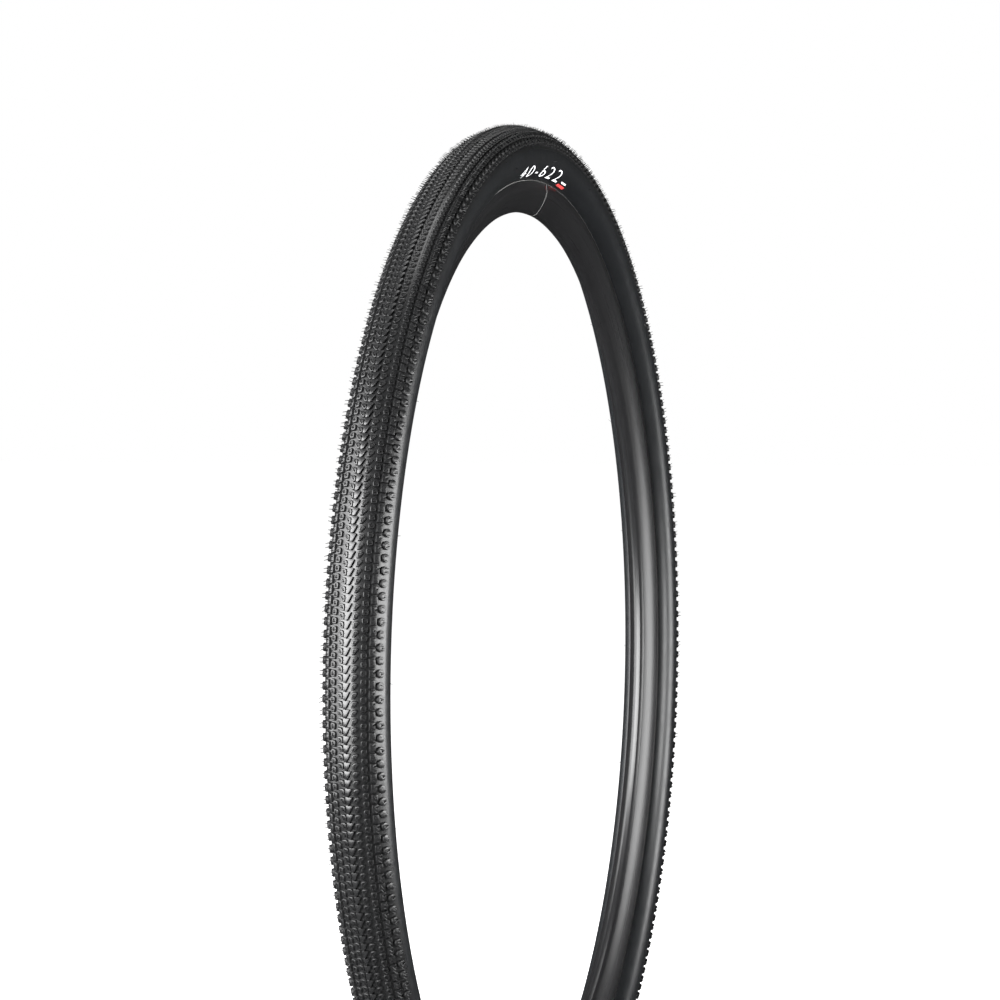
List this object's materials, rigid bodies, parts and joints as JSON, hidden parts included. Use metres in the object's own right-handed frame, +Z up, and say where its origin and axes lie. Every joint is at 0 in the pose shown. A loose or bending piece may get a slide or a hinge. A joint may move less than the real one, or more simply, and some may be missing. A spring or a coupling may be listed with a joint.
{
  "type": "bicycle tire",
  "caption": "Road and gravel bicycle tyre with a fine knobbed tread, wire beads and black sidewalls, seated on a plain undrilled hoop.",
  "frame": {"origin": "wheel centre, on the axle line and in the middle of the tyre's width", "axes": "+Y along the axle towards the tyre's left side, +Z up, +X the way the wheel rolls"},
  "size_m": [0.702, 0.04, 0.7019],
  "materials": {
    "hoop_black": "satin black anodised aluminium",
    "sleeve_alloy": "plain extruded aluminium",
    "casing_ply": "rubber-coated black nylon cord",
    "breaker_weave": "woven aramid strip in rubber",
    "chafer_cloth": "black woven nylon in rubber",
    "bead_steel": "bronze-coated high tensile wire",
    "filler_rubber": "hard black rubber",
    "tread_rubber": "satin black tread rubber",
    "sidewall_rubber": "smooth black sidewall rubber",
    "marking_white": "white printed transfer",
    "tab_red": "red printed transfer"
  },
  "bodies": {
    "root": {"rim_hoop": "hoop_black", "joint_sleeve": "sleeve_alloy", "ply_outer": "casing_ply", "ply_inner": "casing_ply", "breaker_belt": "breaker_weave", "tread_cap": "tread_rubber", "centre_ridge": "tread_rubber", "bead_wire_left": "bead_steel", "bead_filler_left": "filler_rubber", "chafer_left": "chafer_cloth", "sidewall_left": "sidewall_rubber", "inner_knobs_left": "tread_rubber", "middle_knobs_left": "tread_rubber", "outer_knobs_left": "tread_rubber", "shoulder_knobs_left": "tread_rubber", "vent_hairs_left": "sidewall_rubber", "size_marking_left": "marking_white", "colour_tab_left": "tab_red", "bead_wire_right": "bead_steel", "bead_filler_right": "filler_rubber", "chafer_right": "chafer_cloth", "sidewall_right": "sidewall_rubber", "inner_knobs_right": "tread_rubber", "middle_knobs_right": "tread_rubber", "outer_knobs_right": "tread_rubber", "shoulder_knobs_right": "tread_rubber", "vent_hairs_right": "sidewall_rubber", "size_marking_right": "marking_white", "colour_tab_right": "tab_red"}
  },
  "joints": []
}
